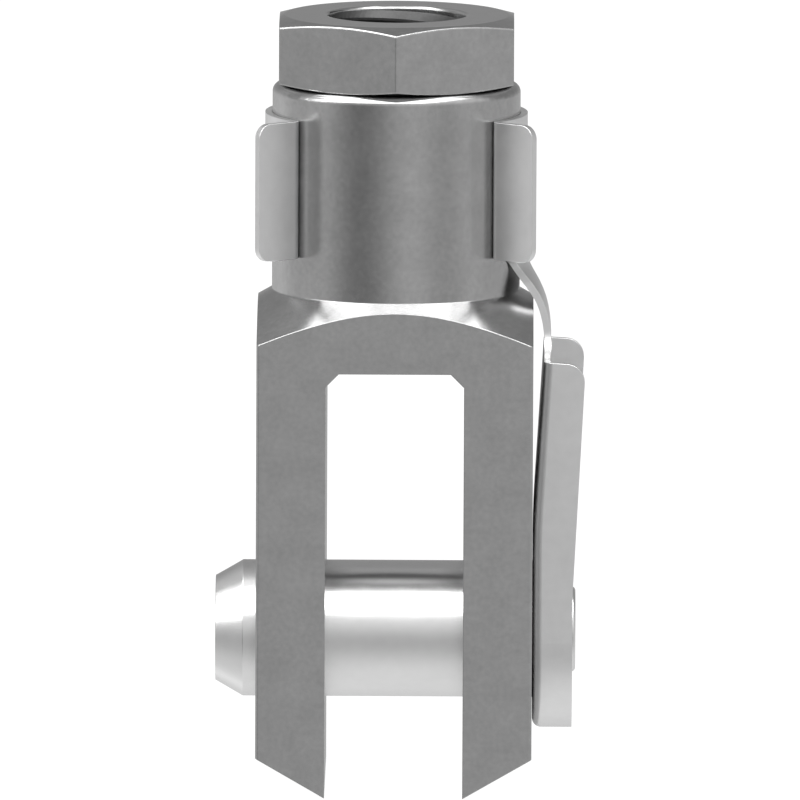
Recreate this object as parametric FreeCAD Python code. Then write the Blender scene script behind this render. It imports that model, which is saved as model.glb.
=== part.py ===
import FreeCAD
import Part
import math
import os

# Clevis for a threaded tension rod: a fork with a round neck, a cross pin, a spring clip and a lock nut.
# Millimetres. The origin is the middle of the pin, between the two legs. +Z runs up the rod's axis and
# +X along the pin towards the clip. The clip's collar opens towards -Y.

# Driving sizes of the fork
body_width = 20.0
slot_width = 10.0
slot_height = 20.0
slot_corner = 0.95
leg_reach = 11.0
leg_bevel_deg = 30.0
neck_d = 18.0
neck_start = 25.0
neck_top = 40.0
neck_rim_r = 0.6
shoulder_deg = 30.0
edge_break = 0.15

# Rod thread, cut as a plain bore at its major diameter
thread_d = 10.0
thread_mouth_d = 11.0
mouth_slope_deg = 45.0

# Cross pin and its fits
pin_hole_d = 10.0
pin_hole_break = 0.3
pin_clearance = 0.03
pin_overhang = 3.0
pin_chamfer_length = 2.0
pin_chamfer_deg = 30.0
stud_d = 5.0
stud_clearance = 0.05
rivet_head_d = 6.2
rivet_head_round = 0.3
rivet_proud = 0.25

# Spring clip, one folded and curled sheet
sheet = 0.5
bend_inner_r = 0.15
clip_side_gap = 0.05
channel_width = 14.28
channel_depth = 2.87
channel_corner_r = 1.35
lean_deg = 3.4
lean_start = 6.5
lean_bend_r = 60.0
flange_lean_deg = 2.95
flange_lean_start = 3.3
flange_top = 20.53
strip_root_width = 6.9
strip_root_hollow_r = 1.85
strip_waist_width = 6.6
strip_head_hollow_r = 2.0
strip_lower_pull = 5.1
strip_upper_pull = 2.0
strip_slices = 8
collar_clearance = 0.03
collar_bottom = 27.9
collar_top = 37.9
collar_fold_deg = 37.3
ear_deg = 39.5
ear_length = 3.3
ear_corner_r = 1.0

# Lock nut
nut_flats = 17.0
nut_height = 5.0
nut_mouth_d = 10.3
nut_chamfer_deg = 15.0
nut_chamfer_d = 16.3

# Directions
axis_x = FreeCAD.Vector(1, 0, 0)
axis_y = FreeCAD.Vector(0, 1, 0)
axis_z = FreeCAD.Vector(0, 0, 1)
origin = FreeCAD.Vector(0, 0, 0)

# Sizes that follow from the driving ones
body_half = body_width / 2
slot_half = slot_width / 2
neck_r = neck_d / 2
thread_r = thread_d / 2
pin_r = pin_hole_d / 2 - pin_clearance
nut_top = neck_top + nut_height
nut_corner_r = nut_flats / 2 / math.cos(math.pi / 6)
bend_outer_r = bend_inner_r + sheet
fold_mid_r = bend_inner_r + sheet / 2
web_inner_x = body_half + clip_side_gap
web_outer_x = web_inner_x + sheet
channel_half = channel_width / 2
collar_mid_r = neck_r + collar_clearance + sheet / 2
lean = math.radians(lean_deg)
through = 2 * (nut_top + leg_reach)


def at(x, y, z):
    return FreeCAD.Vector(x, y, z)


def face_of(points):
    return Part.Face(Part.makePolygon(points + [points[0]]))


def turned(points, axis):
    """The solid that a closed outline sweeps round an axis through the origin."""
    return face_of(points).revolve(origin, axis, 360)


def level_edges(shape, z):
    """The edges of a shape that lie flat at one height."""
    return [e for e in shape.Edges if e.BoundBox.ZLength < 0.01 and abs(e.BoundBox.ZMin - z) < 0.01]


# Fork
def square_bar():
    """The bar that the fork is made from, with its long edges broken."""
    bar = Part.makeBox(body_width, body_width, leg_reach + neck_top, at(-body_half, -body_half, -leg_reach))
    long_edges = [e for e in bar.Edges if e.BoundBox.ZLength > leg_reach]
    return bar.makeChamfer(edge_break, long_edges)


def lathe_envelope():
    """What turning leaves of the bar: the round neck and the cone below it, which cuts the bar's corners."""
    wide_r = body_width
    cone_foot = neck_start - (wide_r - neck_r) * math.tan(math.radians(shoulder_deg))
    outline = [
        at(0, 0, -leg_reach),
        at(wide_r, 0, -leg_reach),
        at(wide_r, 0, cone_foot),
        at(neck_r, 0, neck_start),
        at(neck_r, 0, neck_top),
        at(0, 0, neck_top),
    ]
    envelope = turned(outline, axis_z)
    return envelope.makeFillet(neck_rim_r, level_edges(envelope, neck_top))


def slot_cutter():
    """The milled slot, with a small slope in both upper corners."""
    outline = [
        at(-slot_half, -body_width, -body_width),
        at(slot_half, -body_width, -body_width),
        at(slot_half, -body_width, slot_height - slot_corner),
        at(slot_half - slot_corner, -body_width, slot_height),
        at(slot_corner - slot_half, -body_width, slot_height),
        at(-slot_half, -body_width, slot_height - slot_corner),
    ]
    return face_of(outline).extrude(axis_y * 2 * body_width)


def leg_bevel_cutter(side):
    """The wedge below one leg, whose slope rises from the slot to the outer face."""
    rise = (body_width - slot_half) * math.tan(math.radians(leg_bevel_deg))
    outline = [
        at(side * slot_half, -body_width, -leg_reach),
        at(side * body_width, -body_width, rise - leg_reach),
        at(side * body_width, -body_width, -body_width),
        at(side * slot_half, -body_width, -body_width),
    ]
    return face_of(outline).extrude(axis_y * 2 * body_width)


def hole_break_cutter(side):
    """The small countersink where the cross hole leaves one leg."""
    hole_r = pin_hole_d / 2
    outline = [
        at(side * (body_half + pin_hole_break), 0, 0),
        at(side * (body_half + pin_hole_break), hole_r + 2 * pin_hole_break, 0),
        at(side * (body_half - pin_hole_break), hole_r, 0),
        at(side * (body_half - pin_hole_break), 0, 0),
    ]
    return turned(outline, axis_x)


def mouth_cutter(mouth_d, face_z, into):
    """The countersink of a thread at a face. into is -1 where the hole runs down from the face, or 1."""
    depth = (mouth_d / 2 - thread_r) / math.tan(math.radians(mouth_slope_deg))
    outline = [
        at(0, 0, face_z),
        at(mouth_d / 2, 0, face_z),
        at(thread_r, 0, face_z + into * depth),
        at(0, 0, face_z + into * depth),
    ]
    return turned(outline, axis_z)


def clevis_fork():
    blank = square_bar().common(lathe_envelope())
    return blank.cut([
        slot_cutter(),
        leg_bevel_cutter(1),
        leg_bevel_cutter(-1),
        Part.makeCylinder(pin_hole_d / 2, through, at(-through / 2, 0, 0), axis_x),
        hole_break_cutter(1),
        hole_break_cutter(-1),
        Part.makeCylinder(thread_r, through, origin, axis_z),
        mouth_cutter(thread_mouth_d, neck_top, -1),
    ])


# Pin
def clevis_pin():
    """The turned pin: chamfered nose, shoulder against the clip, stud through it and riveted head."""
    nose_x = -body_half - pin_overhang
    nose_r = pin_r - pin_chamfer_length * math.tan(math.radians(pin_chamfer_deg))
    head_end = web_inner_x + channel_depth + rivet_proud
    outline = [
        at(nose_x, 0, 0),
        at(nose_x, nose_r, 0),
        at(nose_x + pin_chamfer_length, pin_r, 0),
        at(web_inner_x, pin_r, 0),
        at(web_inner_x, stud_d / 2, 0),
        at(web_outer_x, stud_d / 2, 0),
        at(web_outer_x, rivet_head_d / 2, 0),
        at(head_end, rivet_head_d / 2, 0),
        at(head_end, 0, 0),
    ]
    shape = turned(outline, axis_x)
    rim = [e for e in shape.Edges if e.BoundBox.XLength < 0.01 and abs(e.BoundBox.XMin - head_end) < 0.01]
    return shape.makeFillet(rivet_head_round, rim)


# Spring clip
def half_section(side, depth):
    """One half of the channel's cross section at the pin: web, bend and flange, from the middle out and back."""
    free_x = web_inner_x + depth
    bend_x = web_inner_x + bend_outer_r
    bend_y = channel_half - bend_outer_r
    inner_y = channel_half - sheet
    diagonal = math.sqrt(0.5)

    def p(x, y):
        return at(x, side * y, 0)

    def on_bend(r):
        return p(bend_x - r * diagonal, bend_y + r * diagonal)

    return [
        Part.makeLine(p(web_inner_x, 0), p(web_inner_x, bend_y)),
        Part.Arc(p(web_inner_x, bend_y), on_bend(bend_outer_r), p(bend_x, channel_half)).toShape(),
        Part.makeLine(p(bend_x, channel_half), p(free_x, channel_half)),
        Part.makeLine(p(free_x, channel_half), p(free_x, inner_y)),
        Part.makeLine(p(free_x, inner_y), p(bend_x, inner_y)),
        Part.Arc(p(bend_x, inner_y), on_bend(bend_inner_r), p(web_outer_x, bend_y)).toShape(),
        Part.makeLine(p(web_outer_x, bend_y), p(web_outer_x, 0)),
    ]


def leaning_web(z):
    """The middle of the web's inner face at a height above the bend from which the channel leans out."""
    bend_rise = lean_bend_r * math.sin(lean)
    bend_out = lean_bend_r * (1 - math.cos(lean))
    return at(web_inner_x + bend_out + (z - lean_start - bend_rise) * math.tan(lean), 0, z)


def channel_path():
    """The line that the channel's section follows: upright, a gentle bend, then leaning out."""
    bend_start = at(web_inner_x, 0, lean_start)
    bend_mid = bend_start + at(1 - math.cos(lean / 2), 0, math.sin(lean / 2)) * lean_bend_r
    bend_end = leaning_web(lean_start + lean_bend_r * math.sin(lean))
    return Part.Wire([
        Part.makeLine(at(web_inner_x, 0, 0), bend_start),
        Part.Arc(bend_start, bend_mid, bend_end).toShape(),
        Part.makeLine(bend_end, leaning_web(flange_top)),
    ])


def flange_trimmer():
    """What is cut off beyond the flanges' free edges: upright, then leaning out."""
    free_x = web_inner_x + channel_depth
    slope = math.tan(math.radians(flange_lean_deg))
    top_x = free_x + (flange_top - flange_lean_start) * slope
    beyond = flange_top + channel_depth
    outline = [
        at(free_x, -channel_width, -beyond),
        at(free_x, -channel_width, flange_lean_start),
        at(top_x, -channel_width, flange_top),
        at(top_x, -channel_width, beyond),
        at(2 * top_x, -channel_width, beyond),
        at(2 * top_x, -channel_width, -beyond),
    ]
    return face_of(outline).extrude(axis_y * 2 * channel_width)


def channel():
    """The pressed channel: round skirt about the pin below, two leaning flanges with round corners above."""
    right = half_section(1, 2 * channel_depth)
    left = half_section(-1, 2 * channel_depth)
    section = Part.Wire(Part.__sortEdges__(right + left))
    upper = channel_path().makePipeShell([section], True, False)
    middle = Part.makeLine(at(web_outer_x, 0, 0), at(web_inner_x, 0, 0))
    skirt = Part.Face(Part.Wire(Part.__sortEdges__(right + [middle]))).revolve(origin, axis_x, -180)
    shape = upper.fuse(skirt).cut(flange_trimmer())
    upper_edges = [e for e in shape.Edges if e.BoundBox.ZMin > flange_top - channel_corner_r]
    return shape.makeFillet(channel_corner_r, [e for e in upper_edges if abs(e.Length - sheet) < 0.01])


def strip_slice(centre, tilt_deg, half_width, radius):
    """A slice across the strip: the sheet's thickness, curved round an axis behind it."""
    spread = math.asin(half_width / radius)
    outer_r = radius + sheet / 2
    inner_r = radius - sheet / 2

    def p(r, angle):
        return at(r * math.cos(angle) - radius, r * math.sin(angle), 0)

    wire = Part.Wire([
        Part.Arc(p(outer_r, -spread), p(outer_r, 0), p(outer_r, spread)).toShape(),
        Part.makeLine(p(outer_r, spread), p(inner_r, spread)),
        Part.Arc(p(inner_r, spread), p(inner_r, 0), p(inner_r, -spread)).toShape(),
        Part.makeLine(p(inner_r, -spread), p(outer_r, -spread)),
    ])
    wire.Placement = FreeCAD.Placement(centre, FreeCAD.Rotation(axis_y, tilt_deg))
    return wire


def strip_sheet():
    """The sheet that swings from the flat web up and in to the collar and takes on its curve, still wide."""
    start = leaning_web(flange_top) + at(math.cos(lean), 0, -math.sin(lean)) * (sheet / 2)
    end = at(collar_mid_r, 0, collar_bottom)
    curve = Part.BezierCurve()
    curve.setPoles([
        start,
        start + at(math.sin(lean), 0, math.cos(lean)) * strip_lower_pull,
        end - axis_z * strip_upper_pull,
        end,
    ])
    slices = []
    for step in range(strip_slices + 1):
        u = step / strip_slices
        way = curve.tangent(u)[0]
        curl = max(u * u * (3 - 2 * u), 1 / through)
        tilt = math.degrees(math.atan2(way.x, way.z))
        slices.append(strip_slice(curve.value(u), tilt, channel_half - bend_outer_r, collar_mid_r / curl))
    return Part.makeLoft(slices, True, False)


def strip_side_cutter(side):
    """What is cut from one side of the strip: a hollow above the flange, the waist, a hollow under the collar."""
    root_y = strip_root_width / 2
    waist_y = strip_waist_width / 2
    root_z = flange_top + strip_root_hollow_r
    waist_z = collar_bottom - strip_head_hollow_r
    diagonal = math.sqrt(0.5)

    def p(y, z):
        return at(0, side * y, z)

    def hollow(centre_y, centre_z, r, turn):
        return p(centre_y - r * diagonal, centre_z + turn * r * diagonal)

    foot = p(root_y + strip_root_hollow_r, flange_top)
    root = p(root_y, root_z)
    waist = p(waist_y, waist_z)
    head = p(waist_y + strip_head_hollow_r, collar_bottom)
    foot_hollow = hollow(root_y + strip_root_hollow_r, root_z, strip_root_hollow_r, -1)
    head_hollow = hollow(waist_y + strip_head_hollow_r, waist_z, strip_head_hollow_r, 1)
    outline = Part.Wire([
        Part.Arc(foot, foot_hollow, root).toShape(),
        Part.makeLine(root, waist),
        Part.Arc(waist, head_hollow, head).toShape(),
        Part.makeLine(head, p(channel_width, collar_bottom)),
        Part.makeLine(p(channel_width, collar_bottom), p(channel_width, flange_top)),
        Part.makeLine(p(channel_width, flange_top), foot),
    ])
    return Part.Face(outline).extrude(axis_x * body_width)


def waisted_strip():
    return strip_sheet().cut([strip_side_cutter(1), strip_side_cutter(-1)])


def collar_outline():
    """The band and its two ears seen from above. Each fold bends about an axis outside the band."""
    fold = math.radians(-collar_fold_deg)
    ear = math.radians(-ear_deg)
    centre = at(math.cos(fold), math.sin(fold), 0) * (collar_mid_r + fold_mid_r)
    band_side = fold + math.pi
    ear_side = ear + 1.5 * math.pi
    ear_way = at(math.cos(ear), math.sin(ear), 0)

    def on_fold(r, angle):
        return centre + at(math.cos(angle), math.sin(angle), 0) * r

    def mirrored(v):
        return at(-v.x, v.y, 0)

    edges = []
    tips = []
    for r in (fold_mid_r + sheet / 2, fold_mid_r - sheet / 2):
        band_end = on_fold(r, band_side)
        foot = on_fold(r, ear_side)
        crest = on_fold(r, (band_side + ear_side) / 2)
        tip = foot + ear_way * ear_length
        back = at(0, collar_mid_r + fold_mid_r - r, 0)
        tips.append(tip)
        edges.append(Part.Arc(band_end, back, mirrored(band_end)).toShape())
        for place in (lambda v: v, mirrored):
            edges.append(Part.Arc(place(band_end), place(crest), place(foot)).toShape())
            edges.append(Part.makeLine(place(foot), place(tip)))
    for place in (lambda v: v, mirrored):
        edges.append(Part.makeLine(place(tips[0]), place(tips[1])))
    return Part.Wire(Part.__sortEdges__(edges))


def collar():
    """The curled band round the neck, with two flared ears whose free corners are round."""
    outline = collar_outline()
    outline.translate(axis_z * collar_bottom)
    band = Part.Face(outline).extrude(axis_z * (collar_top - collar_bottom))
    ear_tips = [e for e in band.Edges if abs(e.Length - sheet) < 0.01 and e.BoundBox.ZLength < 0.01]
    return band.makeFillet(ear_corner_r, ear_tips)


def spring_clip():
    stud_hole = Part.makeCylinder(stud_d / 2 + stud_clearance, 2 * channel_depth, at(body_half, 0, 0), axis_x)
    return channel().cut(stud_hole).fuse([waisted_strip(), collar()]).removeSplitter()


# Nut
def lock_nut():
    """A thin hexagon nut on the neck, one corner to the front, chamfered on both faces."""
    corners = [
        at(nut_corner_r * math.sin(k * math.pi / 3), nut_corner_r * math.cos(k * math.pi / 3), neck_top)
        for k in range(6)
    ]
    prism = face_of(corners).extrude(axis_z * nut_height)
    wide_r = nut_flats
    drop = (wide_r - nut_chamfer_d / 2) * math.tan(math.radians(nut_chamfer_deg))
    lower_cone = turned([
        at(0, 0, neck_top),
        at(nut_chamfer_d / 2, 0, neck_top),
        at(wide_r, 0, neck_top + drop),
        at(wide_r, 0, neck_top + nut_flats),
        at(0, 0, neck_top + nut_flats),
    ], axis_z)
    upper_cone = lower_cone.mirror(at(0, 0, neck_top + nut_height / 2), axis_z)
    bore = Part.makeCylinder(thread_r, 2 * nut_height, at(0, 0, neck_top - nut_height / 2), axis_z)
    mouths = [mouth_cutter(nut_mouth_d, neck_top, 1), mouth_cutter(nut_mouth_d, nut_top, -1)]
    return prism.common(lower_cone).common(upper_cone).cut([bore] + mouths)


nodes = {
    "clevis_fork": clevis_fork,
    "clevis_pin": clevis_pin,
    "spring_clip": spring_clip,
    "lock_nut": lock_nut,
}

os.makedirs("parts", exist_ok=True)
for name, make in nodes.items():
    shape = make()
    shape.exportStep("parts/" + name + ".step")
    print(name, len(shape.Solids), shape.isValid(), round(shape.Volume, 2), shape.BoundBox)
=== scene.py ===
import math

import bmesh
import bpy
from mathutils import Matrix, Vector


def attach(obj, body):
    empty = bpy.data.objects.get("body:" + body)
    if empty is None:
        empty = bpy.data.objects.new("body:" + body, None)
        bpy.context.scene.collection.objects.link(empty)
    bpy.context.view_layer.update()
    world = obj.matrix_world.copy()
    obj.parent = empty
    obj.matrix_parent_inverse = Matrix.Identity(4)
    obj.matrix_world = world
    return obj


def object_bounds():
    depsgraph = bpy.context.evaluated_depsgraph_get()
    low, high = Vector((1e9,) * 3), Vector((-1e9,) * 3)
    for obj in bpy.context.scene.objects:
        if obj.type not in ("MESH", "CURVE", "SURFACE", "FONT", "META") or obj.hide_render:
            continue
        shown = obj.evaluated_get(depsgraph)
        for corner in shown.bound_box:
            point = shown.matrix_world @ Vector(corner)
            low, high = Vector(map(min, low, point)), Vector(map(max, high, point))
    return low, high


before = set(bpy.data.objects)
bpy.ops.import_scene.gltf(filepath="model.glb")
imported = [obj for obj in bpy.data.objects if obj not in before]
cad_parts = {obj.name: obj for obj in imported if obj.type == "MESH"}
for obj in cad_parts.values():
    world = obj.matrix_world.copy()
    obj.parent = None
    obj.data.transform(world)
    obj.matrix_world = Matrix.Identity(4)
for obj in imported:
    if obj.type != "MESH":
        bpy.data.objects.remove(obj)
cad_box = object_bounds()

# Metres. The origin is the middle of the cross pin.
# +Z runs up the thread, +X along the pin towards the clip, and -Y towards the camera.

# Camera, at the photograph's viewing angle
camera_distance = 1.5
camera_elevation_deg = 8.6426
camera_azimuth_deg = 0.2409
camera_roll_deg = 0.2521
camera_aim = Vector((0.00034, 0, 0.01676))
camera_lens_mm = 927.21
camera_sensor_mm = 36
camera_near = 0.1
camera_far = 10.0

# Threads: one ridge in each bore, tapering into the wall over its first and last part of a turn
thread_r = 0.005
thread_pitch = 0.0015
thread_depth = 0.00081
thread_root_width = 0.00131
thread_crest_width = 0.00019
thread_embed = 0.00003
thread_turn_steps = 72
thread_runout_turns = 0.35
thread_least_rise = 0.02
nut_thread_bottom = 0.04
nut_thread_top = 0.045
fork_thread_bottom = 0.0205
fork_thread_top = 0.0397

# Metal
relief_height = 0.0000002
cloud_detail = 2.0
broad_share = 0.2
gloss_change = 0.15
bevel_samples = 8

# Surroundings, as brightness by direction. Angles are in degrees, with azimuth 0 towards the camera.
# A card is a soft upright strip: its azimuth, its width, and how much lighter or darker it is.
degrees_per_radian = 180 / math.pi
horizon_level = 0.51
floor_level = 0.77
floor_near_deg = -12
floor_far_deg = -75
front_rise_deg = (-14, 24)
front_high_level = 0.84
side_cards = ((-34, 29, -0.33), (46, 16, -0.13), (15, 17, 0.065), (68, 16, 0.04), (-70, 14, 0.07))
card_foot_deg = (-55, -20)
card_head_deg = (20, 34)
back_wall_deg = 14
back_floor_deg = -22
back_level = 0.28
back_floor_level = 0.68
back_top_deg = (35, 110)
back_top_level = 0.55
back_card = (-135, 18, 0.2)
front_blend = (-0.3, 0)

# Soft lamps, each a level rectangle overhead: its left, right, back and front edge.
# Distances are from above the pin, with the front towards the camera.
lamp_height = 1.0
lamp_level = 3.8
lamps = {
    "front_lamp": (-4.1, 0.8, 0.3, 1.4),
    "left_lamp": (-0.95, -0.28, -0.2, 0.3),
    "right_lamp": (0.28, 0.8, -0.12, 0.3),
}

# Floor
floor_size = 3.0
floor_colour = (0.02, 0.02, 0.02, 1)
floor_roughness = 0.9
floor_glow = 1.0
white = (1, 1, 1, 1)


def linked(obj):
    bpy.context.scene.collection.objects.link(obj)
    return obj


# Materials
class Nodes:
    """A small helper that adds nodes to one material or world and links them by socket name."""

    def __init__(self, owner):
        owner.use_nodes = True
        self.tree = owner.node_tree
        self.tree.nodes.clear()

    def node(self, kind, settings=None, **inputs):
        made = self.tree.nodes.new("ShaderNode" + kind)
        for name, value in (settings or {}).items():
            setattr(made, name, value)
        for name, value in inputs.items():
            self.feed(made.inputs[name.replace("_", " ")], value)
        return made

    def feed(self, socket, value):
        if isinstance(value, bpy.types.NodeSocket):
            self.tree.links.new(value, socket)
        else:
            socket.default_value = value

    def math(self, operation, *values):
        made = self.tree.nodes.new("ShaderNodeMath")
        made.operation = operation
        for socket, value in zip(made.inputs, values):
            self.feed(socket, value)
        return made.outputs[0]

    def times(self, *values):
        total = values[0]
        for value in values[1:]:
            total = self.math("MULTIPLY", total, value)
        return total

    def add(self, *values):
        total = values[0]
        for value in values[1:]:
            total = self.math("ADD", total, value)
        return total

    def changed(self, level, change, share):
        """A level that a pattern about nothing moves up and down by a share."""
        return self.times(self.add(self.times(change, share), 1), level)

    def ramp(self, place, start, end, low, high):
        """A smooth step from one level to another."""
        made = self.node("MapRange", {"interpolation_type": "SMOOTHSTEP"}, Value=place)
        for name, value in (("From Min", start), ("From Max", end), ("To Min", low), ("To Max", high)):
            made.inputs[name].default_value = value
        return made.outputs["Result"]

    def hill(self, place, centre, width, height):
        """A round hill of the given height over one number."""
        off = self.math("DIVIDE", self.math("SUBTRACT", place, centre), width)
        return self.times(self.math("EXPONENT", self.times(off, off, -1)), height)

    def grey(self, level):
        made = self.node("CombineColor")
        for socket in made.inputs:
            self.feed(socket, level)
        return made.outputs["Color"]


def metal(name, base, roughness, mottle, cloud_size, edge_r):
    """Worn bright metal: cloudy colour and gloss, faint relief, and edges that catch the light."""
    material = bpy.data.materials.new(name)
    nodes = Nodes(material)
    where = nodes.node("TexCoord").outputs["Object"]
    cloud = nodes.node("TexNoise", Vector=where, Scale=1 / cloud_size, Detail=cloud_detail).outputs["Fac"]
    broad_scale = broad_share / cloud_size
    broad = nodes.node("TexNoise", Vector=where, Scale=broad_scale, Detail=cloud_detail).outputs["Fac"]
    worn = nodes.math("SUBTRACT", nodes.add(cloud, broad), 1)
    rounded = nodes.node("Bevel", {"samples": bevel_samples}, Radius=edge_r).outputs["Normal"]
    relief = nodes.node("Bump", Height=cloud, Distance=relief_height, Normal=rounded).outputs["Normal"]
    shader = nodes.node("BsdfPrincipled", Metallic=1.0, Normal=relief)
    nodes.feed(shader.inputs["Base Color"], nodes.grey(nodes.changed(base, worn, mottle)))
    nodes.feed(shader.inputs["Roughness"], nodes.changed(roughness, worn, gloss_change))
    nodes.feed(nodes.node("OutputMaterial").inputs["Surface"], shader.outputs["BSDF"])
    return material


def dress(node, material):
    """Gives a CAD node its metal."""
    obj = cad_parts[node]
    obj.data.materials.clear()
    obj.data.materials.append(material)


# Thread ridges
def ridge_section(bm, angle, z, deep):
    """The four corners of the ridge at one place round the bore, from the wall to the crest and back."""
    corners = (
        (thread_r + thread_embed, thread_root_width / 2),
        (thread_r - deep, thread_crest_width / 2),
        (thread_r - deep, -thread_crest_width / 2),
        (thread_r + thread_embed, -thread_root_width / 2),
    )
    return [bm.verts.new((r * math.cos(angle), r * math.sin(angle), z + up)) for r, up in corners]


def thread_ridge(name, bottom, top, body, material):
    """One helical ridge on a bore's wall, its ends tapering into the wall."""
    turns = (top - bottom - thread_root_width) / thread_pitch
    steps = int(turns * thread_turn_steps)
    bm = bmesh.new()
    sections = []
    for step in range(steps + 1):
        turn = turns * step / steps
        rise = min(1, turn / thread_runout_turns, (turns - turn) / thread_runout_turns)
        z = bottom + thread_root_width / 2 + thread_pitch * turn
        deep = thread_depth * max(rise, thread_least_rise)
        sections.append(ridge_section(bm, 2 * math.pi * turn, z, deep))
    for before, after in zip(sections, sections[1:]):
        for corner in range(4):
            beside = (corner + 1) % 4
            bm.faces.new((before[corner], before[beside], after[beside], after[corner]))
    bm.faces.new(sections[0][::-1])
    bm.faces.new(sections[-1])
    bmesh.ops.recalc_face_normals(bm, faces=bm.faces)
    mesh = bpy.data.meshes.new(name)
    bm.to_mesh(mesh)
    bm.free()
    mesh.materials.append(material)
    ridge = linked(bpy.data.objects.new(name, mesh))
    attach(ridge, body)


# Studio
def front_level(nodes, elevation, azimuth):
    """The half of the room on the camera's side: paler upwards and downwards, with cards at the sides."""
    low = nodes.ramp(elevation, floor_near_deg, floor_far_deg, horizon_level, floor_level)
    high = nodes.ramp(elevation, *front_rise_deg, 0, front_high_level - horizon_level)
    cards = nodes.add(*[nodes.hill(azimuth, *card) for card in side_cards])
    foot = nodes.ramp(elevation, *card_foot_deg, 0, 1)
    head = nodes.ramp(elevation, *card_head_deg, 1, 0)
    return nodes.add(low, high, nodes.times(cards, foot, head))


def rear_level(nodes, elevation, azimuth):
    """The half of the room behind the object: a dark wall over a pale floor, with one card."""
    low = nodes.ramp(elevation, back_wall_deg, back_floor_deg, back_level, back_floor_level)
    far = nodes.ramp(elevation, back_floor_deg, floor_far_deg, 0, floor_level - back_floor_level)
    high = nodes.ramp(elevation, *back_top_deg, 0, back_top_level - back_level)
    return nodes.add(low, far, high, nodes.hill(azimuth, *back_card))


def studio_world():
    """Soft surroundings, seen only in reflections. What the camera sees behind the object is plain white."""
    world = bpy.data.worlds.new("studio")
    bpy.context.scene.world = world
    nodes = Nodes(world)
    direction = nodes.node("TexCoord").outputs["Generated"]
    x, y, z = nodes.node("SeparateXYZ", Vector=direction).outputs
    toward = nodes.times(y, -1)
    elevation = nodes.times(nodes.math("ARCSINE", z), degrees_per_radian)
    azimuth = nodes.times(nodes.math("ARCTAN2", x, toward), degrees_per_radian)
    share = nodes.ramp(toward, *front_blend, 0, 1)
    front = nodes.times(front_level(nodes, elevation, azimuth), share)
    rear = nodes.times(rear_level(nodes, elevation, azimuth), nodes.math("SUBTRACT", 1, share))
    seen = nodes.node("LightPath").outputs["Is Camera Ray"]
    level = nodes.add(nodes.times(nodes.add(front, rear), nodes.math("SUBTRACT", 1, seen)), seen)
    background = nodes.node("Background", Color=nodes.grey(level), Strength=1.0)
    nodes.feed(nodes.node("OutputWorld").inputs["Surface"], background.outputs["Background"])


def soft_lamp(name, left, right, back, front):
    """One lamp that shines down from its whole face, equally bright for any size."""
    data = bpy.data.lights.new(name, "AREA")
    data.shape = "RECTANGLE"
    data.size = right - left
    data.size_y = front - back
    data.energy = lamp_level * math.pi * data.size * data.size_y
    obj = linked(bpy.data.objects.new(name, data))
    obj.location = ((left + right) / 2, -(back + front) / 2, lamp_height)


def floor():
    """A white floor that glows just enough to look like the photograph's plain ground."""
    material = bpy.data.materials.new("floor_white")
    nodes = Nodes(material)
    shader = nodes.node("BsdfPrincipled", Roughness=floor_roughness)
    nodes.feed(shader.inputs["Base Color"], floor_colour)
    nodes.feed(shader.inputs["Emission Color"], white)
    nodes.feed(shader.inputs["Emission Strength"], floor_glow)
    nodes.feed(nodes.node("OutputMaterial").inputs["Surface"], shader.outputs["BSDF"])
    half = floor_size / 2
    z = cad_box[0].z
    mesh = bpy.data.meshes.new("floor")
    corners = [(-half, -half, z), (half, -half, z), (half, half, z), (-half, half, z)]
    mesh.from_pydata(corners, [], [(0, 1, 2, 3)])
    mesh.materials.append(material)
    plane = linked(bpy.data.objects.new("floor", mesh))
    plane.visible_glossy = False


def camera():
    """The camera, turned towards its aim and then rolled."""
    elevation = math.radians(camera_elevation_deg)
    azimuth = math.radians(camera_azimuth_deg)
    eye = camera_distance * Vector((
        math.sin(azimuth) * math.cos(elevation),
        -math.cos(azimuth) * math.cos(elevation),
        math.sin(elevation),
    ))
    data = bpy.data.cameras.new("camera")
    data.sensor_width = camera_sensor_mm
    data.lens = camera_lens_mm
    data.clip_start = camera_near
    data.clip_end = camera_far
    turn = (camera_aim - eye).to_track_quat("-Z", "Y").to_matrix().to_4x4()
    roll = Matrix.Rotation(math.radians(camera_roll_deg), 4, "Z")
    obj = linked(bpy.data.objects.new("camera", data))
    obj.matrix_world = Matrix.Translation(eye) @ turn @ roll
    bpy.context.scene.camera = obj


bpy.context.scene.view_settings.view_transform = "Standard"

plated = metal("plated_steel", base=0.5, roughness=0.235, mottle=0.22, cloud_size=0.0004, edge_r=0.0001)
bright = metal("bright_steel", base=0.85, roughness=0.24, mottle=0.06, cloud_size=0.0008, edge_r=0.00008)
spring = metal("spring_steel", base=0.84, roughness=0.32, mottle=0.08, cloud_size=0.0008, edge_r=0.00006)
nut_metal = metal("nut_steel", base=0.53, roughness=0.19, mottle=0.22, cloud_size=0.0004, edge_r=0.00022)
# The thread ridges' steel is made very dark: painted shade for the shadowed inside of the bores, not the
# metal's own colour.
thread_painted_shade = metal("thread_steel_painted_shade", base=0.09, roughness=0.5, mottle=0.3, cloud_size=0.0002, edge_r=0.00003)
dress("clevis_fork", plated)
dress("clevis_pin", bright)
dress("spring_clip", spring)
dress("lock_nut", nut_metal)
thread_ridge("nut_thread_ridge", nut_thread_bottom, nut_thread_top, "nut", thread_painted_shade)
thread_ridge("fork_thread_ridge", fork_thread_bottom, fork_thread_top, "fork", thread_painted_shade)
studio_world()
for lamp, edges in lamps.items():
    soft_lamp(lamp, *edges)
floor()
camera()
